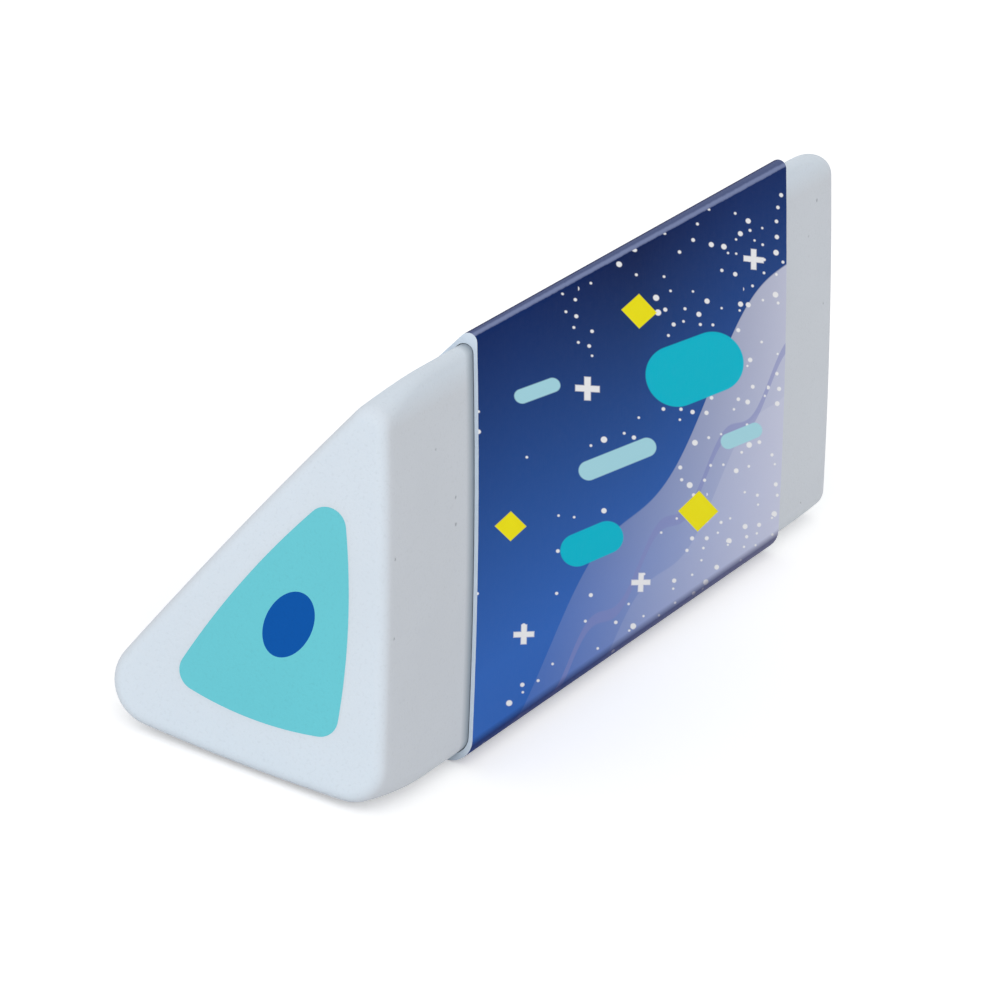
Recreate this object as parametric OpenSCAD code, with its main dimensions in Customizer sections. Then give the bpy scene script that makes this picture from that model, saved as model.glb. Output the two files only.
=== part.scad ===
// Triangular school eraser: a white block with two coloured cores, in a folded card sleeve.
// Frame: X along the block, Y from front to back, Z up. The origin is under the middle of the
// block, on the surface that the sleeve's base panel rests on. Millimetres.

/* [Eraser block] */
// Length of the block
block_l = 65; // [40:0.5:90]
// Width across the base, over the rounded long edges
block_w = 14.7; // [12:0.1:24]
// Height from the crown of the base to the top of the ridge
block_h = 20.1; // [16:0.1:30]
// How far the ridge lies in front of the middle of the base
ridge_front = 2.3; // [0:0.1:4]
// Radius of the long edge at the front of the base
front_r = 0.9; // [0.6:0.05:2.4]
// Radius of that front edge at the two end faces, where it is worn
front_tip_r = 2; // [0.6:0.05:2.4]
// Radius of the long edge at the back of the base
back_r = 2.2; // [0.8:0.05:2.6]
// Radius of the ridge
ridge_r = 0.45; // [0.25:0.05:1]
// Radius of the ridge at the two end faces, where it is worn
tip_r = 1.1; // [0.6:0.05:2]
// Length over which those two edges are worn at each end
tip_l = 6; // [2:0.5:10]
// How far each long side bulges between its edges
side_bow = 0.16; // [0.05:0.01:0.3]
// Rounding of the edges round the two end faces
end_r = 0.6; // [0.3:0.05:1.4]

/* [Coloured cores] */
// White wall between the base and the triangular core
core_wall = 2.4; // [1.5:0.05:3.2]
// White wall beside the triangular core's lower corners
core_side = 2.3; // [1.2:0.05:3.2]
// White wall between the ridge and the top of the triangular core
core_top = 6.25; // [3:0.05:8]
// Radius of the triangular core's edges
core_r = 1; // [0.4:0.05:1.6]
// How far each side of the triangular core bulges
core_bow = 0.3; // [0.05:0.01:0.6]
// Width of the oval centre core
centre_w = 2.35; // [1.5:0.05:4]
// Height of the oval centre core
centre_h = 3.55; // [1.5:0.05:5]
// How far the oval leans to the front, in degrees
centre_lean = 15; // [0:1:45]
// How far the centre core lies above the middle of the triangular core's edges
centre_up = 0.8; // [0:0.05:1.2]
// How far the centre core lies in front of the middle of the triangular core's edges
centre_front = 0.2; // [0:0.05:0.6]

/* [Card sleeve] */
// Length of the sleeve along the block
sleeve_l = 45.3; // [20:0.1:60]
// Length of block that shows at the end that rubs
show_l = 11.1; // [2:0.1:20]
// Thickness of the card
card_t = 0.2; // [0.15:0.01:0.5]
// Running clearance between the block's sides and the card
slide_gap = 0.04; // [0.03:0.01:0.3]
// Outer radius of the fold over the ridge
ridge_fold_r = 0.45; // [0.4:0.05:2]
// Width of the glued flap inside the back panel
flap_w = 7; // [4:0.1:9]
// How far the back panel's free edge stays above the fold
seam_up = 0.3; // [0.1:0.05:1]
// How far above the flap the back panel starts to lean in to the block
lean_up = 0.5; // [0.2:0.1:2]
// Thickness of the glue film
glue_t = 0.03; // [0.02:0.01:0.15]
// Clearance between the glue film and the card on either side of it
glue_slack = 0.005; // [0.002:0.001:0.02]
// How far the glue film stays back from the card's cut edges
glue_margin = 0.8; // [0.2:0.1:2]

/* [Hidden] */
$fn = 96;

// Sampling of the curved outlines
side_steps = 8;
corner_steps = 7;
end_steps = 5;
tip_steps = 3;
fold_steps = 8;
// Length by which a cutting shape runs past what it cuts
past = 1;

// How far the card's outer face lies from the block: where it is single, and where the flap is under it
single_out = slide_gap + card_t;
double_out = single_out + card_t + glue_t + 2 * glue_slack;

// Radius that an edge keeps where the end rounding takes more than it has
least_r = 0.05;

// Centres and radii of the block's long edges, as [y, z]: front base, back base, ridge
base_z = single_out + side_bow;
edge_radii = [front_r, back_r, ridge_r];
edge_centres = [
    [front_r - block_w / 2, base_z + front_r],
    [block_w / 2 - back_r, base_z + back_r],
    [-ridge_front, single_out + block_h - ridge_r]
];

sleeve_x = -block_l / 2 + show_l;

// Points of an arc of radius r round c, from the way a points on to the way b points
function arc(c, a, b, r, steps, first = 0) =
    let (
        from = atan2(a[1], a[0]),
        turn = (atan2(b[1], b[0]) - from + 360) % 360
    )
    [for (i = [first:steps]) let (t = from + turn * i / steps) c + r * [cos(t), sin(t)]];

// The point that lies ra from a and rb from b, to the left on the way from a to b
function meet(a, ra, b, rb) =
    let (
        span = b - a,
        l = norm(span),
        along = (l * l + ra * ra - rb * rb) / (2 * l),
        off = sqrt(ra * ra - along * along)
    )
    a + (along * span + off * [-span[1], span[0]]) / l;

// Side i of a triangle is an arc that bulges by bow and runs smoothly into the circles of radii r
// round the corners p: its radius, and the point it turns round
function bow_r(p, i, bow) =
    let (l = norm(p[(i + 1) % 3] - p[i]))
    l * l / (8 * bow) + bow / 2;
function bow_hub(p, r, i, bow) =
    let (next = (i + 1) % 3, side_r = bow_r(p, i, bow))
    meet(p[i], side_r - r[i], p[next], side_r - r[next]);

// Outline of a triangle with bulging sides that touch circles of radii r round the corners p, moved in
// by d. The edges between the sides have radii edge_r.
function bowed_triangle(p, r, bow, edge_r, d = 0) =
    let (
        hubs = [for (i = [0:2]) bow_hub(p, r, i, bow)],
        outs = [for (i = [0:2]) bow_r(p, i, bow) - d],
        turns = [for (i = [0:2]) max(edge_r[i] - d, least_r)],
        turn_centres = [for (i = [0:2])
            let (last = (i + 2) % 3)
            meet(hubs[last], outs[last] - turns[i], hubs[i], outs[i] - turns[i])]
    )
    [for (i = [0:2])
        let (
            next = (i + 1) % 3,
            c = turn_centres[next],
            side = arc(hubs[i], turn_centres[i] - hubs[i], c - hubs[i], outs[i], side_steps),
            turn = arc(c, c - hubs[i], c - hubs[next], turns[next], corner_steps, 1)
        )
        each concat(side, [for (k = [0:corner_steps - 2]) turn[k]])];

// Which way side i of the block faces, as the flat that touches the circles at both its ends, and how
// far that flat lies from the origin
function facing(i) =
    let (next = (i + 1) % 3, span = edge_centres[next] - edge_centres[i])
    atan2(-span[0], span[1]) + asin((edge_radii[i] - edge_radii[next]) / norm(span));
function reach(i) = edge_centres[i] * [cos(facing(i)), sin(facing(i))] + edge_radii[i];

// Where the flats of sides i and j cross, the first moved in by in_i and the second by in_j
function crossing(i, in_i, j, in_j) =
    let (a = facing(i), b = facing(j), ra = reach(i) - in_i, rb = reach(j) - in_j)
    [ra * sin(b) - rb * sin(a), rb * cos(a) - ra * cos(b)] / sin(b - a);

// Corners of the triangular core: two beside the base, and one on the way down from the ridge
base_in = core_wall + core_bow + core_r;
side_in = core_side + core_r;
core_front = crossing(2, side_in, 0, base_in);
core_back = crossing(0, base_in, 1, side_in);
core_down = (core_front + core_back) / 2 - edge_centres[2];
core_peak = edge_centres[2] + (core_top - ridge_r + core_r) * core_down / norm(core_down);
core_corners = [core_front, core_back, core_peak];
core_radii = [core_r, core_r, core_r];

core_middle = (core_front + core_back + core_peak) / 3;
core_centre = core_middle + [-centre_front, centre_up];

// The card's panels turn round the same points as the block's sides, further out
back_hub = bow_hub(edge_centres, edge_radii, 1, side_bow);
front_hub = bow_hub(edge_centres, edge_radii, 2, side_bow);
flap_out = bow_r(edge_centres, 1, side_bow) + single_out;
back_out = bow_r(edge_centres, 1, side_bow) + double_out;
front_out = bow_r(edge_centres, 2, side_bow) + single_out;

// Centres of the card's folds: both base folds follow the block's edges and stand on the resting surface
front_fold_r = front_r + single_out;
back_fold_r = back_r + single_out;
function fold_side(hub, out, r) = sqrt((out - r) * (out - r) - (r - hub[1]) * (r - hub[1]));
fold_front = [front_hub[0] - fold_side(front_hub, front_out, front_fold_r), front_fold_r];
fold_back = [back_hub[0] + fold_side(back_hub, flap_out, back_fold_r), back_fold_r];
fold_ridge = meet(back_hub, flap_out - ridge_fold_r, front_hub, front_out - ridge_fold_r);

// The way from the back side's hub to the point that lies l up the flap from the fold
down = [0, -1];
function up_flap(l) =
    let (a = atan2(fold_back[1] - back_hub[1], fold_back[0] - back_hub[0]) + l / flap_out * 180 / PI)
    [cos(a), sin(a)];

// Above the flap the back panel leans in, to run smoothly into the ridge fold
lean_way = up_flap(flap_w + lean_up);
lean_start = back_hub + back_out * lean_way;
lean_hub = meet(lean_start, back_out, fold_ridge, back_out - ridge_fold_r);

// The card's way round the block at depth d under its outer face: back panel, ridge fold, front
// panel, front fold, base panel, back fold and flap
function card_line(d) = concat(
    arc(back_hub, up_flap(seam_up), lean_way, back_out - d, side_steps),
    arc(lean_hub, lean_start - lean_hub, fold_ridge - lean_hub, back_out - d, side_steps, 1),
    arc(fold_ridge, fold_ridge - lean_hub, fold_ridge - front_hub, ridge_fold_r - d, fold_steps, 1),
    arc(front_hub, fold_ridge - front_hub, fold_front - front_hub, front_out - d, side_steps, 1),
    arc(fold_front, fold_front - front_hub, down, front_fold_r - d, fold_steps, 1),
    arc(fold_back, down, fold_back - back_hub, back_fold_r - d, fold_steps),
    arc(back_hub, fold_back - back_hub, up_flap(flap_w), flap_out - d, side_steps, 1)
);

// The sleeve is centred on Y
card_y = [for (p = card_line(0)) p[0]];
middle_y = (min(card_y) + max(card_y)) / 2;

// Stands a [y, z] outline along X, from x to x + l
module along_x(x, l)
    translate([x, -middle_y, 0]) rotate([90, 0, 90]) linear_extrude(l) children();

// The band between two lines that run the same way
module band(outer, inner)
    polygon(concat(outer, [for (i = [len(inner) - 1:-1:0]) inner[i]]));

// Radius of an edge at a depth behind an end face, where it is worn from its own radius to worn_to
function worn_r(own_r, worn_to, depth) =
    let (wear = max(0, 1 - depth / tip_l))
    own_r + (worn_to - own_r) * wear * wear;

// Block with all its edges rounded: rings of the outline that shrink towards each end face
module rounded_block() {
    // From an end face on: each ring's depth behind it, and how far in its outline lies
    rounding = [for (i = [0:end_steps])
        let (a = 90 * i / end_steps)
        [end_r * (1 - cos(a)), end_r * (1 - sin(a))]];
    tip = [for (i = [1:tip_steps]) [end_r + (tip_l - end_r) * i / tip_steps, 0]];
    half = concat(rounding, tip);
    n_half = len(half);
    rings = [for (k = [0:2 * n_half - 1]) half[min(k, 2 * n_half - 1 - k)]];
    last = len(rings) - 1;
    outlines = [for (ring = rings)
        let (
            front_worn = worn_r(front_r, front_tip_r, ring[0]),
            ridge_worn = worn_r(ridge_r, tip_r, ring[0])
        )
        bowed_triangle(edge_centres, edge_radii, side_bow, [front_worn, back_r, ridge_worn], ring[1])];
    n = len(outlines[0]);
    polyhedron(
        points = [for (k = [0:last])
            let (x = (k < n_half ? -1 : 1) * (block_l / 2 - rings[k][0]))
            for (p = outlines[k]) [x, p[0] - middle_y, p[1]]],
        faces = concat(
            [[for (j = [0:n - 1]) j]],
            [[for (j = [n - 1:-1:0]) last * n + j]],
            [for (k = [0:last - 1], j = [0:n - 1])
                let (a = k * n + j, b = k * n + (j + 1) % n)
                each [[a, a + n, b + n], [a, b + n, b]]]
        )
    );
}

// The triangular core's space, running past both end faces by extra
module core_prism(extra) {
    along_x(-block_l / 2 - extra, block_l + 2 * extra)
        polygon(bowed_triangle(core_corners, core_radii, core_bow, core_radii));
}

// The centre core's space, running past both end faces by extra
module centre_rod(extra) {
    along_x(-block_l / 2 - extra, block_l + 2 * extra)
        translate(core_centre) rotate(centre_lean) scale([centre_w / centre_h, 1]) circle(d = centre_h);
}

// White vinyl block with the triangular hole that the cores fill
module eraser_block() {
    color([0.88, 0.91, 0.94])
        difference() {
            rounded_block();
            core_prism(past);
        }
}

// Turquoise core, flush with both end faces
module triangle_core() {
    color([0.42, 0.79, 0.84])
        difference() {
            core_prism(0);
            centre_rod(past);
        }
}

// Deep blue rod through the middle of the turquoise core
module centre_core() {
    color([0.07, 0.33, 0.66]) centre_rod(0);
}

// One strip of card, folded round the block and lapped over its own flap at the back
module card_sleeve() {
    color([0.16, 0.27, 0.55])
        along_x(sleeve_x, sleeve_l)
            band(card_line(0), card_line(card_t));
}

// Glue between the flap and the back panel
module sleeve_glue() {
    low = up_flap(seam_up + glue_margin);
    high = up_flap(flap_w - glue_margin);
    inner_r = flap_out + glue_slack;
    color([0.93, 0.9, 0.78])
        along_x(sleeve_x + glue_margin, sleeve_l - 2 * glue_margin)
            band(
                arc(back_hub, low, high, inner_r + glue_t, side_steps),
                arc(back_hub, low, high, inner_r, side_steps)
            );
}

eraser_block();
triangle_core();
centre_core();
card_sleeve();
sleeve_glue();
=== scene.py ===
# %% [markdown]
# # A triangular eraser in a card sleeve
# The object is a bar of white vinyl with two coloured cores running through it, like the letters in
# a stick of rock, and a printed card sleeve that slides along the bar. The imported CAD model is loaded
# first. It fixes every size and place, and each Blender piece below stands in for one of its nodes.

# %% Load the frame
from math import asin, atan2, cos, pi, radians, sin, tau

import bmesh
import bpy
from mathutils import Matrix, Vector
from mathutils.geometry import intersect_line_line


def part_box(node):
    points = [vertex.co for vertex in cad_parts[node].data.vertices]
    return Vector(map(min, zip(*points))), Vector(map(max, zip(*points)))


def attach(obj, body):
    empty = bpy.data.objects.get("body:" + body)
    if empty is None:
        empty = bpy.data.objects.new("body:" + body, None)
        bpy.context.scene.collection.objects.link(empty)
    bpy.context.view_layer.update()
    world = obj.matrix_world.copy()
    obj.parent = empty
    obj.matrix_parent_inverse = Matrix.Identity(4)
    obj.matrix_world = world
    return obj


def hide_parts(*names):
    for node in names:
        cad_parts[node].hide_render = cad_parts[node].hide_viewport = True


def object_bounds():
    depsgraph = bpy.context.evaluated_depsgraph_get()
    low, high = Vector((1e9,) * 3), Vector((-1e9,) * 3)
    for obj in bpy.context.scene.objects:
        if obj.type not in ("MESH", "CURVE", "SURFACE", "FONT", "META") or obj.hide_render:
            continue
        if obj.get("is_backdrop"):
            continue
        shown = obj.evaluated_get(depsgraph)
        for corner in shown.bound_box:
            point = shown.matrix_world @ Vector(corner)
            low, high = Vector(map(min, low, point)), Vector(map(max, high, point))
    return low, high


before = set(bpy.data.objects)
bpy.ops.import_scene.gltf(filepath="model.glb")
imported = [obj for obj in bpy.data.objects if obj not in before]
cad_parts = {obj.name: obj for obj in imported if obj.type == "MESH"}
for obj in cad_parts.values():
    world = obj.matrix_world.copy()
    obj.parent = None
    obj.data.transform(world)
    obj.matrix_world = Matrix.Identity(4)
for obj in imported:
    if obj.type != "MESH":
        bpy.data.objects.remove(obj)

MM = 0.001
scene = bpy.context.scene
cad_box = [list(corner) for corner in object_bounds()]
print("CAD nodes:", ", ".join(sorted(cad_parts)))

# %% [markdown]
# ## Camera
# The photograph was taken from well back with a long lens: the long edges of the bar stay almost
# parallel. The camera looks mostly along the bar, at its near end, from a little above. It is also
# turned about its own axis, so the resting bar seems to climb to the right. A camera can be aimed by
# eye or by a constraint. Here its place, aim and turn were fitted to the bar's edges, so they are
# numbers.

# %% Camera
CAMERA_PLACE = Vector((-369.92, -112.45, 135.97)) * MM
CAMERA_AIM = Vector((1.622, 1.117, 5.412)) * MM
CAMERA_TURN = radians(14.487)

camera_data = bpy.data.cameras.new("camera")
camera_data.sensor_width = 36
camera_data.lens = 288
camera_data.clip_start = 0.01
camera = bpy.data.objects.new("camera", camera_data)
look = (CAMERA_AIM - CAMERA_PLACE).to_track_quat("-Z", "Y").to_matrix().to_4x4()
camera.matrix_world = Matrix.Translation(CAMERA_PLACE) @ look @ Matrix.Rotation(CAMERA_TURN, 4, "Z")
scene.collection.objects.link(camera)
scene.camera = camera
print("Camera is", round((CAMERA_AIM - CAMERA_PLACE).length, 3), "m from the eraser")

# %% [markdown]
# ## Wires
# Node trees are easier to read as sums. A `Wire` holds one socket of a tree. Adding, subtracting or
# multiplying wires adds the Math node that does it, and `node` makes any other node: its settings are
# set first, because they can change which sockets it has, and then its sockets are filled or linked.

# %% The Wire class
class Wire:
    def __init__(self, tree, socket=None):
        self.tree = tree
        self.socket = socket

    def node(self, kind, settings=(), inputs=(), out=0):
        made = self.tree.nodes.new(kind)
        for name, value in dict(settings).items():
            setattr(made, name, value)
        for name, value in dict(inputs).items():
            if isinstance(value, Wire):
                self.tree.links.new(value.socket, made.inputs[name])
            else:
                made.inputs[name].default_value = value
        return Wire(self.tree, made.outputs[out])

    def math(self, operation, *others, clamp=False):
        settings = {"operation": operation, "use_clamp": clamp}
        return self.node("ShaderNodeMath", settings, enumerate((self, *others)))

    def __add__(self, other):
        return self.math("ADD", other)

    __radd__ = __add__

    def __mul__(self, other):
        return self.math("MULTIPLY", other)

    __rmul__ = __mul__

    def __sub__(self, other):
        return self.math("SUBTRACT", other)

    def __rsub__(self, other):
        return self * -1 + other

    def __abs__(self):
        return self.math("ABSOLUTE")

    def link_to(self, socket):
        self.tree.links.new(self.socket, socket)


def paint(under, over, amount, blend="MIX"):
    """One colour laid over another, as strongly as amount says, from 0 to 1."""
    settings = {"data_type": "RGBA", "blend_type": blend}
    return amount.node("ShaderNodeMix", settings, {0: amount, 6: under, 7: over}, out=2)


def inside(distance, soft):
    """1 where a distance is below zero and 0 where it is above, with an edge as wide as soft."""
    return distance.math("MULTIPLY_ADD", -1 / soft, 0.5, clamp=True)


def grey(level):
    return (level, level, level, 1.0)


def screen_colour(red, green, blue):
    """A colour picked on a screen, 0 to 255, as the linear light that shaders work in."""
    shares = [level / 255 for level in (red, green, blue)]
    linear = [s / 12.92 if s <= 0.04045 else ((s + 0.055) / 1.055) ** 2.4 for s in shares]
    return (*linear, 1.0)


print("Middle grey in linear light:", round(screen_colour(128, 128, 128)[0], 3))

# %% [markdown]
# ## Floor, sky and light
# A studio table: a white floor, an even sky and one large soft lamp above the near end, so the end
# face is the brightest side and the front panel lies in soft shade. The camera and reflections see a
# plain white sky, while the light that the sky sheds is weaker. That is what Light Path is for.

# %% Floor
def seen_directly(wire):
    """1 for camera, mirror and glass rays, 0 for the light that lands on the object."""
    camera_ray = wire.node("ShaderNodeLightPath", out="Is Camera Ray")
    glossy_ray = wire.node("ShaderNodeLightPath", out="Is Glossy Ray")
    through_ray = wire.node("ShaderNodeLightPath", out="Is Transmission Ray")
    return camera_ray.math("MAXIMUM", glossy_ray).math("MAXIMUM", through_ray)


FLOOR_SIZE = 6.0
FLOOR_LIFT = 0.35
floor_mesh = bmesh.new()
bmesh.ops.create_grid(floor_mesh, x_segments=1, y_segments=1, size=FLOOR_SIZE / 2)
floor_data = bpy.data.meshes.new("floor")
floor_mesh.to_mesh(floor_data)
floor_mesh.free()
floor = bpy.data.objects.new("floor", floor_data)
scene.collection.objects.link(floor)
floor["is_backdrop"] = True

floor_paint = bpy.data.materials.new("floor_paint")
floor_paint.use_nodes = True
floor_shader = floor_paint.node_tree.nodes["Principled BSDF"]
floor_shader.inputs["Base Color"].default_value = grey(0.9)
floor_shader.inputs["Roughness"].default_value = 0.9
floor_shader.inputs["Specular IOR Level"].default_value = 0.0
floor_shader.inputs["Emission Strength"].default_value = 1.0
lift = paint(grey(0.0), grey(FLOOR_LIFT), seen_directly(Wire(floor_paint.node_tree)))
lift.link_to(floor_shader.inputs["Emission Color"])
floor_data.materials.append(floor_paint)
print("Floor is", FLOOR_SIZE, "m square")

# %% Sky and lamp
SKY_LIGHT = 0.7
world = bpy.data.worlds.new("studio")
world.use_nodes = True
scene.world = world
sky = world.node_tree.nodes["Background"]
glow = paint(grey(SKY_LIGHT), grey(1.0), seen_directly(Wire(world.node_tree)))
glow.link_to(sky.inputs["Color"])

LAMP_FROM = Vector((-0.85, -0.05, 0.52)).normalized()
lamp_data = bpy.data.lights.new("soft_lamp", "SUN")
lamp_data.energy = 0.89
lamp_data.angle = radians(50)
lamp = bpy.data.objects.new("soft_lamp", lamp_data)
lamp.matrix_world = LAMP_FROM.to_track_quat("Z", "Y").to_matrix().to_4x4()
scene.collection.objects.link(lamp)

scene.view_settings.view_transform = "Standard"
print("Lamp shines at", lamp_data.energy, "W per square metre")

# %% [markdown]
# ## The bar's section
# Cut across, the bar is a triangle with gently bulging sides and round edges, a little lopsided: its
# ridge lies in front of the middle of the base, and its front edge is crisper than its back edge. The
# box of the CAD node gives the places of the three edges. Points along the outline could be typed in,
# but arcs stay smooth at any number of steps: each side is an arc that runs smoothly into the circles
# round its two edges.

# %% Section sizes
FRONT_R = 0.9 * MM
BACK_R = 2.2 * MM
RIDGE_R = 0.45 * MM
RIDGE_FRONT = 2.3 * MM
SIDE_BOW = 0.16 * MM

block_low, block_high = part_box("eraser_block")
base_z = block_low.z + SIDE_BOW
ridge_y = (block_low.y + block_high.y) / 2 - RIDGE_FRONT
block_radii = [FRONT_R, BACK_R, RIDGE_R]
block_edges = [
    Vector((0, block_low.y + FRONT_R, base_z + FRONT_R)),
    Vector((0, block_high.y - BACK_R, base_z + BACK_R)),
    Vector((0, ridge_y, block_high.z - RIDGE_R)),
]
print("Front, back and ridge edges, mm:", [[round(c / MM, 2) for c in v.yz] for v in block_edges])

# %% Arcs that touch circles
def meet(a, a_reach, b, b_reach):
    """The point that far from a and from b, across the bar, to the left on the way from a to b."""
    span = b - a
    along = (span.length_squared + a_reach ** 2 - b_reach ** 2) / (2 * span.length)
    left = Vector((1, 0, 0)).cross(span).normalized()
    return a + span.normalized() * along + left * (a_reach ** 2 - along ** 2) ** 0.5


def side_arcs(corners, radii, bow):
    """For each side, the hub and radius of the arc that bulges by bow and touches both corners."""
    arcs = []
    for i in range(3):
        after = (i + 1) % 3
        arc_r = (corners[after] - corners[i]).length_squared / (8 * bow) + bow / 2
        hub = meet(corners[i], arc_r - radii[i], corners[after], arc_r - radii[after])
        arcs.append((hub, arc_r))
    return arcs


block_arcs = side_arcs(block_edges, block_radii, SIDE_BOW)
print("Radii of the base, the back and the front, mm:", [round(r / MM) for _, r in block_arcs])

# %% Drawing a bulging triangle by spinning one vertex
SIDE_STEPS = 16
CORNER_STEPS = 14
LEAST_R = 0.05 * MM


def turn_between(a, b):
    """Angle about X from one direction to another, always counted the same way round."""
    return (atan2(b.z, b.y) - atan2(a.z, a.y)) % tau


def spin_on(bm, vert, centre, angle, steps):
    """Draws an arc from a vertex round a centre, and gives the vertex where the arc ends."""
    centre = Vector((vert.co.x, centre.y, centre.z))
    made = bmesh.ops.spin(bm, geom=[vert], cent=centre, axis=(1, 0, 0), angle=angle, steps=steps)
    return next(g for g in made["geom_last"] if isinstance(g, bmesh.types.BMVert))


def draw_section(bm, x, arcs, radii, inset=0.0):
    """Draws a bulging triangle across the bar at x, moved in by inset, and gives its edges."""
    known = set(bm.edges)
    turns = [max(radius - inset, LEAST_R) for radius in radii]
    centres = []
    for i, turn in enumerate(turns):
        (last_hub, last_r), (hub, arc_r) = arcs[i - 1], arcs[i]
        centres.append(meet(last_hub, last_r - inset - turn, hub, arc_r - inset - turn))
    hub, arc_r = arcs[0]
    start = hub + (centres[0] - hub).normalized() * (arc_r - inset)
    first = vert = bm.verts.new((x, start.y, start.z))
    for i, (hub, _) in enumerate(arcs):
        after, next_hub = centres[(i + 1) % 3], arcs[(i + 1) % 3][0]
        vert = spin_on(bm, vert, hub, turn_between(centres[i] - hub, after - hub), SIDE_STEPS)
        vert = spin_on(bm, vert, after, turn_between(after - hub, after - next_hub), CORNER_STEPS)
    bmesh.ops.pointmerge(bm, verts=[first, vert], merge_co=first.co)
    return [edge for edge in bm.edges if edge not in known]


print("A section has", 3 * (SIDE_STEPS + CORNER_STEPS), "vertices")

# %% [markdown]
# ## White block
# The bar is extruded vinyl, cut to length and tumbled, so its end edges are soft. Its ridge and its
# front edge are worn rounder towards both ends, and the front edge most at the near end, which has been
# used. It could be a bevelled prism, but a bevel pinches where the sharp ridge meets the end. Instead
# the section is drawn again and again along the bar, moved in a little more at each step of the end
# rounding, and the loops are bridged. The last loops go round the hole that the cores fill.

# %% White block: loops round the ends
NEAR, FAR = -1, 1
END_R = 0.6 * MM
RIDGE_TIP_R = 1.1 * MM
FRONT_TIP_R = {NEAR: 2.0 * MM, FAR: 1.1 * MM}
TIP_L = 6.0 * MM
END_STEPS = 8
TIP_STEPS = 8
half_l = block_high.x


def worn_r(own_r, worn_to, depth):
    """Radius of an edge at a depth behind an end face, where it is worn from own_r to worn_to."""
    wear = max(0.0, 1 - depth / TIP_L)
    return own_r + (worn_to - own_r) * wear ** 2


end_loops = []
for step in range(END_STEPS + 1):
    lean = pi / 2 * step / END_STEPS
    end_loops.append((END_R * (1 - cos(lean)), END_R * (1 - sin(lean))))
for step in range(1, TIP_STEPS + 1):
    end_loops.append((END_R + (TIP_L - END_R) * step / TIP_STEPS, 0.0))
print("Loops round each end:", len(end_loops))

# %% The core's corners
CORE_WALL = 2.4 * MM
CORE_SIDE = 2.3 * MM
CORE_TOP = 6.25 * MM
CORE_R = 1.0 * MM
CORE_BOW = 0.3 * MM


def flat_of_side(i, depth):
    """Two points of the flat that touches both ends of the block's side i, moved in by depth."""
    after = (i + 1) % 3
    span = block_edges[after] - block_edges[i]
    way = atan2(-span.y, span.z) + asin((block_radii[i] - block_radii[after]) / span.length)
    out = Vector((0, cos(way), sin(way)))
    return [block_edges[k] + out * (block_radii[k] - depth) for k in (i, after)]


base_flat = flat_of_side(0, CORE_WALL + CORE_BOW + CORE_R)
back_flat = flat_of_side(1, CORE_SIDE + CORE_R)
front_flat = flat_of_side(2, CORE_SIDE + CORE_R)
core_front = intersect_line_line(*front_flat, *base_flat)[0]
core_back = intersect_line_line(*base_flat, *back_flat)[0]
core_down = ((core_front + core_back) / 2 - block_edges[2]).normalized()
core_peak = block_edges[2] + core_down * (CORE_TOP - RIDGE_R + CORE_R)
core_radii = [CORE_R] * 3
core_arcs = side_arcs([core_front, core_back, core_peak], core_radii, CORE_BOW)
print("Core's peak lies", round((block_high.z - core_peak.z - CORE_R) / MM, 2), "mm under the ridge")

# %% White block: bridging
FACE_HOLD = 0.1 * MM


def core_loop(bm, x):
    return draw_section(bm, x, core_arcs, core_radii)


def block_loop(bm, side, depth, inset):
    """The block's outline at a depth behind the end face on one side, NEAR or FAR."""
    front_worn = worn_r(FRONT_R, FRONT_TIP_R[side], depth)
    ridge_worn = worn_r(RIDGE_R, RIDGE_TIP_R, depth)
    radii = [front_worn, BACK_R, ridge_worn]
    return draw_section(bm, side * (half_l - depth), block_arcs, radii, inset)


def bridge(bm, loops):
    """Joins each loop of edges to the next one with a band of faces."""
    for edges, more in zip(loops, loops[1:]):
        bmesh.ops.bridge_loops(bm, edges=edges + more)


def fill_flat(bm, loops):
    """Fills the flat bands between loops that lie in one plane across the bar."""
    for edges, more in zip(loops, loops[1:]):
        bmesh.ops.triangle_fill(bm, edges=edges + more, use_beauty=True, normal=(1, 0, 0))


def to_piece(bm, name):
    """Turns a bmesh into an object at the origin, with its faces pointing out and smooth."""
    bmesh.ops.recalc_face_normals(bm, faces=bm.faces)
    mesh = bpy.data.meshes.new(name)
    bm.to_mesh(mesh)
    bm.free()
    for polygon in mesh.polygons:
        polygon.use_smooth = True
    piece = bpy.data.objects.new(name, mesh)
    scene.collection.objects.link(piece)
    print(name, "has", len(mesh.polygons), "faces, size mm:", [round(d / MM, 2) for d in piece.dimensions])
    return piece


block = bmesh.new()
body_loops = [block_loop(block, NEAR, *loop) for loop in end_loops]
body_loops += [block_loop(block, FAR, *loop) for loop in reversed(end_loops)]
holes = [core_loop(block, -half_l), core_loop(block, half_l)]
bridge(block, body_loops)
bridge(block, holes)
for side, rim, hole in zip((NEAR, FAR), (body_loops[0], body_loops[-1]), holes):
    fill_flat(block, [rim, block_loop(block, side, 0.0, END_R + FACE_HOLD), hole])
    for edge in hole:
        edge.smooth = False
white_block = to_piece(block, "white_block")

# %% [markdown]
# ## Coloured cores
# The turquoise core is a smaller bulging triangle with an oval hole, and the blue core is the oval rod
# in that hole. All three vinyls are pressed out of one die together, so the cores are flush with the
# end faces. They are made as the block was, from loops joined by bridges. The oval is a spun circle,
# squeezed and then leant to the front.

# %% Turquoise core
ROD_W = 2.35 * MM
ROD_H = 3.55 * MM
ROD_LEAN = radians(15)
ROD_STEPS = 72
rod_low, rod_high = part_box("centre_core")
rod_centre = (rod_low + rod_high) / 2


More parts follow.
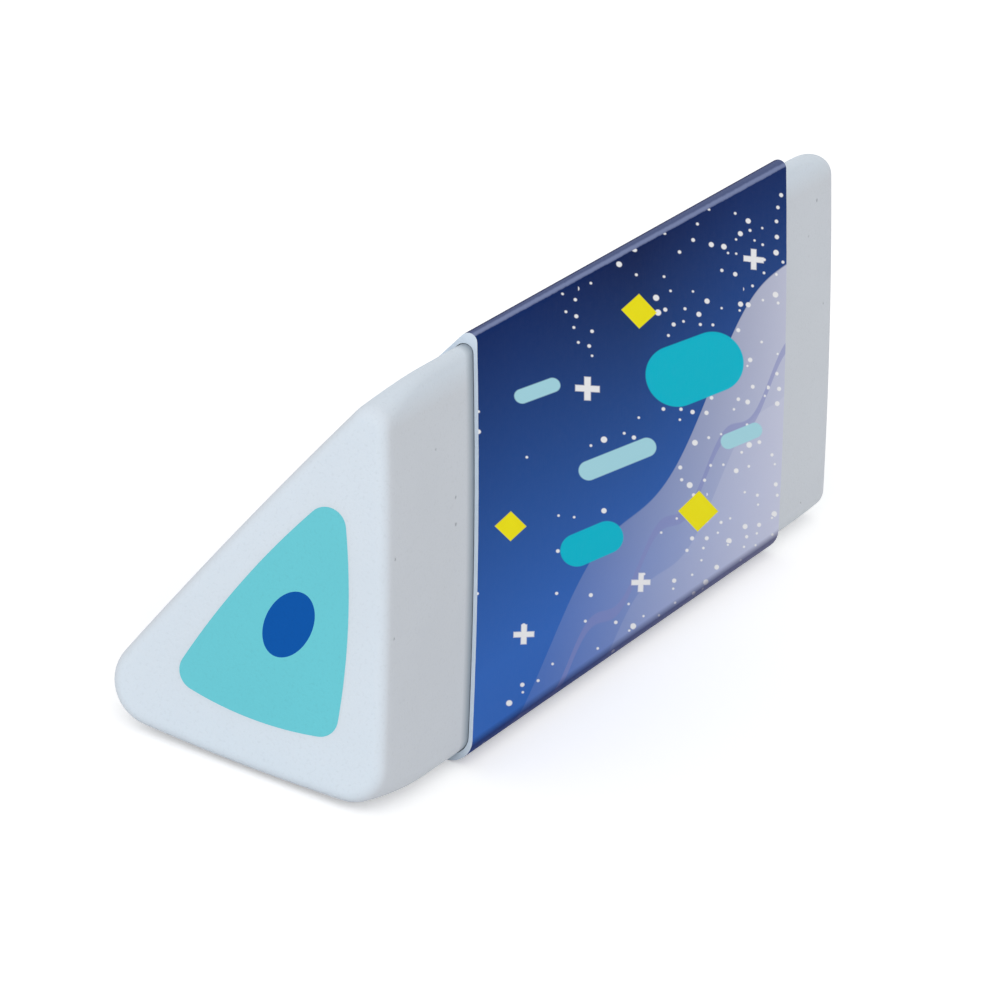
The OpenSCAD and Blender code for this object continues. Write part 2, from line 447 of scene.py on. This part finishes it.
def rod_loop(bm, x):
    """The oval across the bar at x."""
    known = set(bm.edges)
    hub = Vector((x, rod_centre.y, rod_centre.z))
    vert = bm.verts.new(hub + Vector((0, 0, ROD_H / 2)))
    bmesh.ops.spin(bm, geom=[vert], cent=hub, axis=(1, 0, 0), angle=tau, steps=ROD_STEPS, use_merge=True)
    ring = [edge for edge in bm.edges if edge not in known]
    verts = list({vert for edge in ring for vert in edge.verts})
    bmesh.ops.scale(bm, vec=(1, ROD_W / ROD_H, 1), space=Matrix.Translation(-hub), verts=verts)
    bmesh.ops.rotate(bm, cent=hub, matrix=Matrix.Rotation(ROD_LEAN, 3, "X"), verts=verts)
    return ring


core = bmesh.new()
core_ends = [core_loop(core, -half_l), core_loop(core, half_l)]
hole_ends = [rod_loop(core, -half_l), rod_loop(core, half_l)]
bridge(core, core_ends)
bridge(core, hole_ends)
for rim, hole in zip(core_ends, hole_ends):
    fill_flat(core, [rim, hole])
    for edge in rim + hole:
        edge.smooth = False
turquoise_core = to_piece(core, "turquoise_core")

# %% Blue core
rod = bmesh.new()
rod_ends = [rod_loop(rod, -half_l), rod_loop(rod, half_l)]
bridge(rod, rod_ends)
for edges in rod_ends:
    bmesh.ops.contextual_create(rod, geom=edges)
    for edge in edges:
        edge.smooth = False
blue_core = to_piece(rod, "blue_core")

# %% [markdown]
# ## Card sleeve
# The sleeve is one strip of card: the back panel, the ridge fold, the front panel, the front fold, the
# base panel, the back fold and a flap, which goes up inside the back panel and is glued to it. So it
# is drawn as a strip: one vertex spins along the panels, which bulge as the bar does, and round the
# folds, and the line is then extruded along the bar. The running length is kept on the way, because
# the print follows the flat strip.

# %% Where the strip turns
CARD_T = 0.2 * MM
SLIDE_GAP = 0.04 * MM
RIDGE_FOLD_R = 0.45 * MM
FLAP_W = 7.0 * MM
SEAM_UP = 0.3 * MM
LEAN_UP = 0.5 * MM
GLUE_T = 0.03 * MM
GLUE_SLACK = 0.005 * MM

sleeve_low, sleeve_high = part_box("card_sleeve")
single_out = SLIDE_GAP + CARD_T
double_out = single_out + CARD_T + GLUE_T + 2 * GLUE_SLACK
_, (back_hub, back_r), (front_hub, front_r) = block_arcs
flap_out, back_out, front_out = back_r + single_out, back_r + double_out, front_r + single_out


def fold_beside(hub, out, radius, way):
    """Middle of a base fold: it rests on the ground and touches the panel that turns round hub."""
    rise = radius - hub.z
    return Vector((0, hub.y + way * ((out - radius) ** 2 - rise ** 2) ** 0.5, radius))


front_fold = fold_beside(front_hub, front_out, FRONT_R + single_out, -1)
back_fold = fold_beside(back_hub, flap_out, BACK_R + single_out, 1)
ridge_fold = meet(back_hub, flap_out - RIDGE_FOLD_R, front_hub, front_out - RIDGE_FOLD_R)
flap_foot = atan2(back_fold.z - back_hub.z, back_fold.y - back_hub.y)


def on_back(radius, up):
    """A point that far from the back's hub, that far up the flap from the fold."""
    angle = flap_foot + up / flap_out
    return back_hub + radius * Vector((0, cos(angle), sin(angle)))


lean_start = on_back(back_out, FLAP_W + LEAN_UP)
lean_hub = meet(lean_start, back_out, ridge_fold, back_out - RIDGE_FOLD_R)
print("Folds, mm:", [[round(c / MM, 2) for c in v.yz] for v in (front_fold, back_fold, ridge_fold)])

# %% The strip's route
PANEL_STEPS = 8
FOLD_STEPS = 8
DOWN = Vector((0, 0, -1))

seam = on_back(back_out, SEAM_UP)
flap_top = on_back(flap_out, FLAP_W)
bends = [
    (back_hub, seam - back_hub, lean_start - back_hub, PANEL_STEPS),
    (lean_hub, lean_start - lean_hub, ridge_fold - lean_hub, PANEL_STEPS),
    (ridge_fold, ridge_fold - lean_hub, ridge_fold - front_hub, FOLD_STEPS),
    (front_hub, ridge_fold - front_hub, front_fold - front_hub, PANEL_STEPS),
    (front_fold, front_fold - front_hub, DOWN, FOLD_STEPS),
    (back_fold, DOWN, back_fold - back_hub, FOLD_STEPS),
    (back_hub, back_fold - back_hub, flap_top - back_hub, PANEL_STEPS),
]
RIDGE_START = 2 * PANEL_STEPS
RIDGE_END = RIDGE_START + FOLD_STEPS
PANEL_END = RIDGE_END + PANEL_STEPS


def draw_strip(bm, inset):
    """Draws the strip's line at its near end, moved in by inset, and gives its vertices in order."""
    known = set(bm.verts)
    first = on_back(back_out - inset, SEAM_UP)
    vert = bm.verts.new((sleeve_low.x, first.y, first.z))
    for hub, start, end, steps in bends:
        if hub is back_fold:
            vert = bmesh.ops.extrude_vert_indiv(bm, verts=[vert])["verts"][0]
            vert.co.y = back_fold.y
        vert = spin_on(bm, vert, hub, turn_between(start, end), steps)
    return [vert for vert in bm.verts if vert not in known]


strip = bmesh.new()
run_layer = strip.verts.layers.float.new("run")
inner_layer = strip.verts.layers.int.new("inner")
route = draw_strip(strip, 0.0)
for before, after in zip(route, route[1:]):
    after[run_layer] = before[run_layer] + (after.co - before.co).length
strip_l = route[-1][run_layer]
ridge_run = (route[RIDGE_START][run_layer] + route[RIDGE_END][run_layer]) / 2
panel_run = route[PANEL_END][run_layer]
sleeve_l = sleeve_high.x - sleeve_low.x
print("Flat strip, mm:", round(sleeve_l / MM, 1), "by", round(strip_l / MM, 1))

# %% [markdown]
# ## Giving the card its thickness
# Solidify could make card of a sheet, but not where the card changes: along a sharp crease the inner
# plies burst and swell until they fill it. So the inside is drawn as a second line, which hugs the
# bar's own edge in the ridge fold and in most of the front fold. Both lines are extruded, and a bridge
# between their rims makes the cut edges. The inside and the cut edges get the second finish, plain
# white card.

# %% From strip to sleeve
CREASE_FADE = 4
SHARP_FROM = radians(50)


def fill_crease(verts, fold, edge, radius, fade):
    """Moves the inside of a fold to the bar's own edge, fully or fading out towards the last vertex."""
    for i, vert in enumerate(verts):
        out = Vector((0, vert.co.y - fold.y, vert.co.z - fold.z)).normalized()
        hug = edge + out * (radius + SLIDE_GAP)
        vert.co.yz = vert.co.yz.lerp(hug.yz, 1 - fade * (i / FOLD_STEPS) ** CREASE_FADE)


inner_line = draw_strip(strip, CARD_T)
for vert, twin in zip(inner_line, route):
    vert[inner_layer] = 1
    vert[run_layer] = twin[run_layer]
ridge_inside = inner_line[RIDGE_START:RIDGE_END + 1]
front_inside = inner_line[PANEL_END:PANEL_END + FOLD_STEPS + 1]
fill_crease(ridge_inside, ridge_fold, block_edges[2], RIDGE_R, fade=0)
fill_crease(front_inside, front_fold, block_edges[0], FRONT_R, fade=1)

made = bmesh.ops.extrude_edge_only(strip, edges=strip.edges)
far_verts = [g for g in made["geom"] if isinstance(g, bmesh.types.BMVert)]
bmesh.ops.translate(strip, verts=far_verts, vec=(sleeve_l, 0, 0))
bmesh.ops.bridge_loops(strip, edges=[edge for edge in strip.edges if edge.is_boundary])
bmesh.ops.recalc_face_normals(strip, faces=strip.faces)
uv_layer = strip.loops.layers.uv.new("strip")
for face in strip.faces:
    face.material_index = int(any(vert[inner_layer] for vert in face.verts))
    for corner in face.loops:
        along = (corner.vert.co.x - sleeve_low.x) / sleeve_l
        corner[uv_layer].uv = (along, corner.vert[run_layer] / strip_l)
for edge in strip.edges:
    edge.smooth = edge.calc_face_angle() < SHARP_FROM
printed_sleeve = to_piece(strip, "printed_sleeve")

# %% [markdown]
# ## Glue film
# A thin line of glue holds the flap to the back panel. It hardly shows, but it is a piece of its own: a
# grid bent to the panel's curve, pulled in unevenly along its rim as squeezed glue is, and extruded to
# its thickness.

# %% Glue film
GLUE_MARGIN = 0.8 * MM
WAVE_DEEP = 0.35 * MM
WAVE_LONG = 5.2 * MM
RIPPLE_LONG = 0.37 * WAVE_LONG
SIDE_SHIFT = 2.0
FILM_STEPS = {"x_segments": 60, "y_segments": 8}
glue_low, glue_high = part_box("sleeve_glue")
glue_mid, glue_half = (glue_low + glue_high) / 2, (glue_high - glue_low) / 2
film_mid = (SEAM_UP + FLAP_W) / 2
film_half = (FLAP_W - SEAM_UP) / 2 - GLUE_MARGIN

film = bmesh.new()
bmesh.ops.create_grid(film, size=1, **FILM_STEPS)
for vert in film.verts:
    x, side = vert.co.x * glue_half.x, vert.co.y
    wave = WAVE_DEEP * (1 + sin(tau * x / WAVE_LONG + SIDE_SHIFT * side)) / 2
    wave += WAVE_DEEP * (1 + sin(tau * x / RIPPLE_LONG)) / 4
    vert.co = on_back(flap_out + GLUE_SLACK, film_mid + side * (film_half - wave))
    vert.co.x = glue_mid.x + x
made = bmesh.ops.extrude_face_region(film, geom=film.faces[:])
for vert in (g for g in made["geom"] if isinstance(g, bmesh.types.BMVert)):
    out = Vector((0, vert.co.y - back_hub.y, vert.co.z - back_hub.z)).normalized()
    vert.co += out * GLUE_T
glue_film = to_piece(film, "glue_film")

# %% [markdown]
# ## Vinyl
# Eraser vinyl is matt and slightly waxy, and light sinks a little way into it. Close up it is never
# quite even: the colour drifts in soft clouds, the skin has a fine grain, and there are a few tiny
# pits with a grey speck of dust in them. Clouds and grain are Noise, and the pits are the middles of
# Voronoi cells, of which only a few are let through.

# %% Helpers for finishes
def new_finish(name, **constants):
    """A material with a Principled shader, whose even values are set on the shader itself."""
    finish = bpy.data.materials.new(name)
    finish.use_nodes = True
    shader = finish.node_tree.nodes["Principled BSDF"]
    for socket, value in constants.items():
        shader.inputs[socket.replace("_", " ")].default_value = value
    return finish, shader, Wire(finish.node_tree)


def place_in_mm(wire):
    """The piece's own coordinates, in millimetres, so that pattern scales read as sizes."""
    place = wire.node("ShaderNodeTexCoord", out="Object")
    settings = {"operation": "SCALE"}
    return place.node("ShaderNodeVectorMath", settings, {0: place, "Scale": 1 / MM})


def noise(place, size, detail=2.0):
    """Soft noise around 0.5, whose clouds are about as large as size, in mm."""
    sockets = {"Vector": place, "Scale": 1 / size, "Detail": detail}
    return place.node("ShaderNodeTexNoise", (), sockets, out="Fac")


CELL_JITTER = 0.75


def cells(place, spacing, dimensions="3D"):
    """Distance to the middle of the nearest Voronoi cell, two chances that it draws, and its place."""
    settings = {"voronoi_dimensions": dimensions}
    sockets = {"Vector": place, "Scale": 1 / spacing, "Randomness": CELL_JITTER}
    middle = place.node("ShaderNodeTexVoronoi", settings, sockets, out="Distance") * spacing
    lot = place.node("ShaderNodeTexVoronoi", settings, sockets, out="Color")
    red = lot.node("ShaderNodeSeparateColor", (), {"Color": lot}, out="Red")
    green = lot.node("ShaderNodeSeparateColor", (), {"Color": lot}, out="Green")
    at = place.node("ShaderNodeTexVoronoi", settings, sockets, out="Position")
    return middle, red, green, at


def shaded(colour, factor):
    return (*(min(1.0, level * factor) for level in colour[:3]), 1.0)


def bump(height, depth):
    """A surface normal tilted by a height from 0 to 1, as deep as depth in mm."""
    sockets = {"Height": height, "Strength": 1.0, "Distance": depth * MM}
    return height.node("ShaderNodeBump", (), sockets, out="Normal")


def rough(shader, wire, least, more):
    """Roughness from least upwards, by as much as more where the wire is 1."""
    (wire * more + least).link_to(shader.inputs["Roughness"])


print("Pattern sizes are written in mm, and a shader's own unit is", round(1 / MM), "mm")

# %% Vinyl
CLOUD = 5.0
GRAIN = 0.16
GRAIN_LEVEL, GRAIN_SOFT = 0.36, 0.2
PIT_SPACING = 1.3
PIT_R = 0.09
PIT_SOFT = 0.06
PITS_LEFT_OUT = 0.72
PIT_GROWTH = 3.5
PALE, DULL, GRAINY = 1.03, 0.965, 0.94
GRAIN_RISE, CLOUD_RISE, PIT_DROP = 0.35, 2.0, 2.5


def vinyl(name, colour, speck, pitted, marks=None, **constants):
    """A vinyl in one colour. Pitted says how strongly the specks show, and marks adds to the tone."""
    finish, shader, wire = new_finish(name, **constants)
    place = place_in_mm(wire)
    clouds = noise(place, CLOUD, detail=3.0)
    grain = noise(place, GRAIN, detail=4.0)
    middle, chance, *_ = cells(place, PIT_SPACING)
    kept = (chance - PITS_LEFT_OUT).math("MULTIPLY", PIT_GROWTH, clamp=True)
    pit = inside(middle - kept * PIT_R, PIT_SOFT) * pitted
    tone = paint(shaded(colour, DULL), shaded(colour, PALE), clouds)
    tone = paint(tone, shaded(colour, GRAINY), inside(grain - GRAIN_LEVEL, GRAIN_SOFT))
    tone = marks(place, tone) if marks else tone
    paint(tone, speck, pit).link_to(shader.inputs["Base Color"])
    rough(shader, grain, least=0.5, more=0.22)
    relief = grain * GRAIN_RISE + clouds * CLOUD_RISE - pit * PIT_DROP
    bump(relief, depth=0.03).link_to(shader.inputs["Normal"])
    return finish


print("Pits lie about", PIT_SPACING, "mm apart, and this share is left out:", PITS_LEFT_OUT)

# %% [markdown]
# ## White, turquoise and blue
# The white vinyl has two tones: its long sides are painted darker than its cut ends, as painted shade,
# which fades out near the lit ridge. Beside the card's edge a painted shadow runs round the bar. The
# cores only show where they are cut, so they are cleaner. The three differ in little but their colour,
# so one function makes them all, and the white one hands it a second function for its painted shade.

# %% The three vinyls
WHITE = screen_colour(218, 228, 238)
# Painted shade, multiplied onto the long sides so that they look darker than the cut ends.
SIDE_SHADE = (0.93, 0.89, 0.87, 1.0)
# A painted shadow, grey, in a band round the bar beside the card's near edge.
EDGE_SHADOW = screen_colour(157, 168, 178)
TURQUOISE = screen_colour(109, 204, 216)
BLUE = screen_colour(11, 86, 169)
WHITE_SPECK = screen_colour(150, 156, 165)
SPECK_SHADE = 0.8
# Half width and softness, in mm, of the painted shadow beside the card's edge.
EDGE_SHADOW_HALF = 0.6
EDGE_SHADOW_SOFT = 0.8
# The painted side shade fades out over this many mm below the ridge, which stays pale as if lit.
LIT_RIDGE = 1.2


def side_shade_and_edge_shadow(place, tone):
    """Paints shade on the long sides, fading out near the lit ridge, and a painted shadow beside the
    card's edge.
    """
    x = place.node("ShaderNodeSeparateXYZ", (), {0: place}, out="X")
    z = place.node("ShaderNodeSeparateXYZ", (), {0: place}, out="Z")
    # Painted shade on the long sides, fading out towards the lit ridge.
    side_shade = inside(abs(x) - (half_l - END_R / 3) / MM, END_R / MM * 2 / 3)
    below_lit_ridge = inside(z - block_high.z / MM + LIT_RIDGE, LIT_RIDGE)
    tone = paint(tone, SIDE_SHADE, side_shade * below_lit_ridge, "MULTIPLY")
    # Painted shadow in a band round the bar at the card's near edge.
    edge_shadow = inside(abs(x - sleeve_low.x / MM) - EDGE_SHADOW_HALF, EDGE_SHADOW_SOFT)
    return paint(tone, EDGE_SHADOW, edge_shadow)


waxy = {
    "Specular_IOR_Level": 0.25,
    "Subsurface_Weight": 0.12,
    "Subsurface_Radius": (1.0, 1.0, 1.0),
    "Subsurface_Scale": 0.8 * MM,
}
turquoise_speck, blue_speck = shaded(TURQUOISE, SPECK_SHADE), shaded(BLUE, SPECK_SHADE)
white_vinyl = vinyl("white_vinyl", WHITE, WHITE_SPECK, pitted=0.7, marks=side_shade_and_edge_shadow, **waxy)
turquoise_vinyl = vinyl(
    "turquoise_vinyl", TURQUOISE, turquoise_speck, pitted=0.3, Specular_IOR_Level=0.1)
blue_vinyl = vinyl("blue_vinyl", BLUE, blue_speck, pitted=0.3, Specular_IOR_Level=0.05)
print("Vinyls:", white_vinyl.name, turquoise_vinyl.name, blue_vinyl.name)

# %% [markdown]
# ## Plain card and glue
# The inside of the sleeve and its cut edges are bare card, a cool white with a faint tangle of fibres.
# Fibres could be hairs, thousands of them, but at this size two stretched noises that cross each
# other look the same. The glue is a dried, slightly yellow film with streaks where it was squeezed.

# %% Plain card and glue
FIBRE = 0.22
FIBRE_WAYS = [(0.25, 1.6, 1.6), (1.6, 0.25, 0.25)]
PULP_DULL = screen_colour(200, 214, 229)
PULP_PALE = screen_colour(220, 233, 246)
STREAK = 0.9
RESIN_DULL = screen_colour(232, 224, 196)
RESIN_PALE = screen_colour(246, 242, 226)


def fibres(place):
    """Card fibres: two stretched noises that cross each other."""
    ways = []
    for stretch in FIBRE_WAYS:
        settings = {"operation": "MULTIPLY"}
        drawn = place.node("ShaderNodeVectorMath", settings, {0: place, 1: stretch})
        ways.append(noise(drawn, FIBRE, detail=3.0))
    return ways[0].math("MAXIMUM", ways[1])


plain_card, card_shader, wire = new_finish("plain_card", Specular_IOR_Level=0.2)
web = fibres(place_in_mm(wire))
paint(PULP_DULL, PULP_PALE, web).link_to(card_shader.inputs["Base Color"])
rough(card_shader, web, least=0.7, more=0.2)
bump(web, depth=0.02).link_to(card_shader.inputs["Normal"])

glue, glue_shader, wire = new_finish("dried_glue", Specular_IOR_Level=0.4)
streaks = noise(place_in_mm(wire), STREAK, detail=3.0)
paint(RESIN_DULL, RESIN_PALE, streaks).link_to(glue_shader.inputs["Base Color"])
rough(glue_shader, streaks, least=0.2, more=0.3)
bump(streaks, depth=0.02).link_to(glue_shader.inputs["Normal"])
print("Card and glue:", plain_card.name, glue.name)

# %% [markdown]
# ## The printed side
# The sleeve is printed card with a satin skin. A picture could be wrapped round it, but a print that is
# drawn by distances stays sharp however close one looks: for every point of the flat strip the shader
# works out how far it lies from the middle of a pill, a diamond or a plus sign, and fills what is near
# enough. The design hangs from the ridge and is the same on the front and the back. It is stretched
# and leans along the bar, so that it looks upright where the bar is mostly seen from: near its end.

# %% The design's own coordinates
STRETCH = 2.9
SLANT = 0.68
printed_card, print_shader, wire = new_finish("printed_card", Specular_IOR_Level=0.01)
uv = wire.node("ShaderNodeUVMap", {"uv_map": "strip"})
across = uv.node("ShaderNodeSeparateXYZ", (), {0: uv}, out="X")
run = uv.node("ShaderNodeSeparateXYZ", (), {0: uv}, out="Y")
along = across * (sleeve_l / MM)
to_front = run * (strip_l / MM) - ridge_run / MM
s = along * (1 / STRETCH)
d = abs(to_front)
leaning = s.node("ShaderNodeCombineXYZ", (), {"X": s, "Y": d - s * SLANT})
panel_d = (panel_run - ridge_run) / MM
print("The front panel is", round(sleeve_l / MM, 1), "mm along and", round(panel_d, 1), "mm down")

# %% Ground and waves
def swell(level, fall, height, length, phase):
    """How far a point lies above a wavy line that starts at level and falls along the bar."""
    wave = (s * (tau / length) + phase).math("SINE") * height
    return s * fall + wave + level - d


def hill(under, mist, least, **line):
    """Lays a misty hill over a colour. The mist thickens from least towards the far end."""
    return paint(under, LAVENDER, inside(swell(**line), HILL_SOFT) * (shine * mist + least))


NAVY = screen_colour(8, 40, 100)
DEEP_NAVY = screen_colour(2, 26, 78)
ROYAL = screen_colour(54, 108, 195)
LAVENDER = screen_colour(222, 224, 242)
LILAC = screen_colour(140, 146, 204)
ROYAL_FROM = 0.85
DEPTH_CURVE, SHINE_CURVE = 1.1, 1.6
DEEP_MID, DEEP_HALF, DEEP_SOFT = 22.0, 8.0, 16.0
HILL_SOFT = 0.1
RIBBON_HALF, RIBBON_SOFT, RIBBON_INK = 0.3, 0.08, 0.55

depth = (d * (1 / (ROYAL_FROM * panel_d))).math("POWER", DEPTH_CURVE, clamp=True)
deep = inside(abs(along - DEEP_MID) - DEEP_HALF, DEEP_SOFT)
ground = paint(paint(NAVY, DEEP_NAVY, deep), ROYAL, depth)
shine = (s * (STRETCH / (sleeve_l / MM))).math("POWER", SHINE_CURVE, clamp=True)
far_line = {"level": 22.0, "fall": -1.05, "height": 1.2, "length": 8.0, "phase": 0.4}
near_line = {"level": 27.0, "fall": -0.95, "height": 0.9, "length": 5.5, "phase": 2.0}
ground = hill(ground, mist=0.8, least=0.02, **far_line)
ground = hill(ground, mist=0.3, least=0.03, **near_line)
ribbon_line = swell(level=23.5, fall=-0.8, height=0.7, length=3.4, phase=1.0)
ribbon = inside(abs(ribbon_line) - RIBBON_HALF, RIBBON_SOFT)
ground = paint(ground, LILAC, ribbon * RIBBON_INK)
print("Ground is royal blue from", round(ROYAL_FROM * panel_d, 1), "mm down")

# %% [markdown]
# ## Dots and motifs
# The dots are the middles of Voronoi cells. A noise that is read at each middle decides where they
# crowd, so a dot is there as a whole or not at all. The pills, diamonds and plus signs come after the
# dots, because they are printed over them.

# %% Dots
PAPER = screen_colour(252, 252, 254)
DOT_SPACING = 0.75
DOT_LEAST, DOT_MORE, DOT_SOFT = 0.06, 0.1, 0.05
CROWD_SIZE, CROWD_SLOPE = 3.2, 0.02
CROWD_FROM, CROWD_GAIN = 0.58, 3.2
STRAY_DOTS = 0.02
middle, chance, size, cell_at = cells(leaning, DOT_SPACING, "2D")
crowd = noise(cell_at, CROWD_SIZE, detail=1.0) + s * CROWD_SLOPE
share = (crowd - CROWD_FROM).math("MULTIPLY", CROWD_GAIN, clamp=True)
shown = inside(chance - share - STRAY_DOTS, soft=0.002)
dots = inside(middle - (size * size * DOT_MORE + DOT_LEAST), DOT_SOFT) * shown
ground = paint(ground, PAPER, dots)
print("Dots about", DOT_SPACING, "mm apart where they crowd")

# %% Motifs
PILL_LEAN = -24
MOTIF_SOFT = 0.06


def local(centre, lean):
    """Coordinates about a motif's middle, given in mm along and down, turned by lean degrees."""
    a = s - centre[0] / STRETCH
    b = d - centre[1] - a * SLANT
    c, n = cos(radians(lean)), sin(radians(lean))
    return a * c + b * n, b * c - a * n


def pill(centre, half, radius):
    a, b = local(centre, PILL_LEAN)
    past = (abs(a) - half).math("MAXIMUM", 0.0)
    return (past * past + b * b).math("SQRT") - radius


def diamond(centre, half):
    a, b = local(centre, 0)
    return abs(a) + abs(b) - half


def plus(centre, arm, width):
    a, b = (abs(w) for w in local(centre, 0))
    flat_bar = (a - arm).math("MAXIMUM", b - width)
    return flat_bar.math("MINIMUM", (a - width).math("MAXIMUM", b - arm))


CYAN = screen_colour(0, 194, 218)
PALE_CYAN = screen_colour(176, 228, 240)
YELLOW = screen_colour(255, 242, 20)
motifs = [
    (pill((31.0, 8.4), half=1.1, radius=1.6), CYAN),
    (pill((16.0, 14.2), half=0.8, radius=0.85), CYAN),
    (pill((19.5, 10.6), half=1.6, radius=0.5), PALE_CYAN),
    (pill((8.0, 4.6), half=0.8, radius=0.36), PALE_CYAN),
    (pill((38.5, 13.6), half=0.8, radius=0.42), PALE_CYAN),
    (diamond((22.5, 3.6), half=0.9), YELLOW),
    (diamond((32.0, 16.2), half=1.1), YELLOW),
    (diamond((4.4, 10.6), half=0.75), YELLOW),
    (plus((15.0, 6.0), arm=0.6, width=0.16), PAPER),
    (plus((6.6, 16.6), arm=0.5, width=0.14), PAPER),
    (plus((23.5, 18.0), arm=0.5, width=0.14), PAPER),
    (plus((40.0, 4.4), arm=0.55, width=0.15), PAPER),
]
for distance, colour in motifs:
    ground = paint(ground, colour, inside(distance, MOTIF_SOFT))
print("Motifs drawn:", len(motifs))

# %% [markdown]
# ## Wear, painted highlight and painted shade on the print
# Ink gives way first where card is handled: the cut edges show a little bare card. The ridge has a pale
# stripe, a painted highlight that also stands for rubbed ink, with a dark line behind it, and the front
# fold is painted darker where it turns under, as painted shade.
# A vertex colour could hold such bands, but they are distances on the flat strip too, so they are
# drawn as the design is, and follow the folds exactly.

# %% Folds, cut edges and the card's skin
# Ridge colours: a painted highlight along the fold, its brightest line, and a dark line behind it.
RIDGE_HIGHLIGHT = screen_colour(86, 98, 138)
RIDGE_HIGHLIGHT_PEAK = screen_colour(126, 138, 178)
RIDGE_DARK = screen_colour(40, 46, 92)
# Painted shade for the front fold, multiplied onto the print.
FOLD_SHADE = (0.22, 0.22, 0.32, 1.0)
CUT_TONE = screen_colour(226, 230, 238)
PATCH_SIZE = 0.5
RIDGE_REACH, RIDGE_SPREAD, RIDGE_UNEVEN = 0.16, 0.22, 0.08
RIDGE_BACK, RIDGE_SOFT, LINE_SOFT = 0.17, 0.06, 0.1
LIGHT_UP, LIGHT_HALF = 0.12, 0.1
DARK_BACK, DARK_HALF = 0.36, 0.16
FOLD_MID, FOLD_HALF, FOLD_SOFT = 1.3, 1.2, 0.45
CUT_REACH, CUT_UNEVEN, CUT_SOFT, CUT_SHARE = 0.07, 0.1, 0.05, 0.4
SATIN, SATIN_VARIES = 0.36, 0.12

place = place_in_mm(wire)
web = fibres(place)
patchy = noise(place, PATCH_SIZE, detail=4.0)
ridge_low = across * RIDGE_SPREAD + patchy * RIDGE_UNEVEN + RIDGE_REACH
ridge_highlight = inside(abs(to_front + RIDGE_BACK) - RIDGE_BACK - ridge_low, RIDGE_SOFT)
highlight_peak = inside(abs(to_front - ridge_low + LIGHT_UP) - LIGHT_HALF, LINE_SOFT)
dark_line = inside(abs(to_front + DARK_BACK) - DARK_HALF, LINE_SOFT)
# Painted highlight along the ridge fold, brightest in a line on its front side, then a dark line behind
# it.
ground = paint(ground, RIDGE_HIGHLIGHT, ridge_highlight)
ground = paint(ground, RIDGE_HIGHLIGHT_PEAK, highlight_peak)
ground = paint(ground, RIDGE_DARK, dark_line)
# Painted shade: the print is multiplied darker where the front fold turns under.
fold_shade_band = inside(abs(to_front - panel_d - FOLD_MID) - FOLD_HALF, FOLD_SOFT)
ground = paint(ground, FOLD_SHADE, fold_shade_band, "MULTIPLY")
cut = along.math("MINIMUM", (1 - across) * (sleeve_l / MM))
cut_wear = inside(cut + patchy * CUT_UNEVEN - CUT_REACH, CUT_SOFT)
ground = paint(ground, CUT_TONE, cut_wear * CUT_SHARE)
ground.link_to(print_shader.inputs["Base Color"])
satin = web * SATIN_VARIES + patchy * SATIN_VARIES + SATIN
satin.link_to(print_shader.inputs["Roughness"])
bump(web, depth=0.006).link_to(print_shader.inputs["Normal"])
print("Printed card has", len(printed_card.node_tree.nodes), "nodes")

# %% [markdown]
# ## Putting it together
# Each piece gets its finish, takes the place of its CAD node and rides on that node's body, so the
# sleeve, with its glue, slides along the bar when the joint moves.

# %% Finishes, bodies and nodes
pieces = [
    (white_block, [white_vinyl], "eraser", "eraser_block", "white_vinyl"),
    (turquoise_core, [turquoise_vinyl], "eraser", "triangle_core", "turquoise_vinyl"),
    (blue_core, [blue_vinyl], "eraser", "centre_core", "blue_vinyl"),
    (printed_sleeve, [printed_card, plain_card], "sleeve", "card_sleeve", "printed_card"),
    (glue_film, [glue], "sleeve", "sleeve_glue", "glue"),
]
for piece, finishes, body, node, slot in pieces:
    for finish in finishes:
        piece.data.materials.append(finish)
    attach(piece, body)
    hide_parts(node)
print("Pieces:", ", ".join(piece.name for piece, *_ in pieces))

# %% Finish
visual_box = [list(corner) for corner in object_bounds()]
for name, box in (("CAD", cad_box), ("visual", visual_box)):
    print(name, "box, mm:", [[round(c / MM, 3) for c in corner] for corner in box])
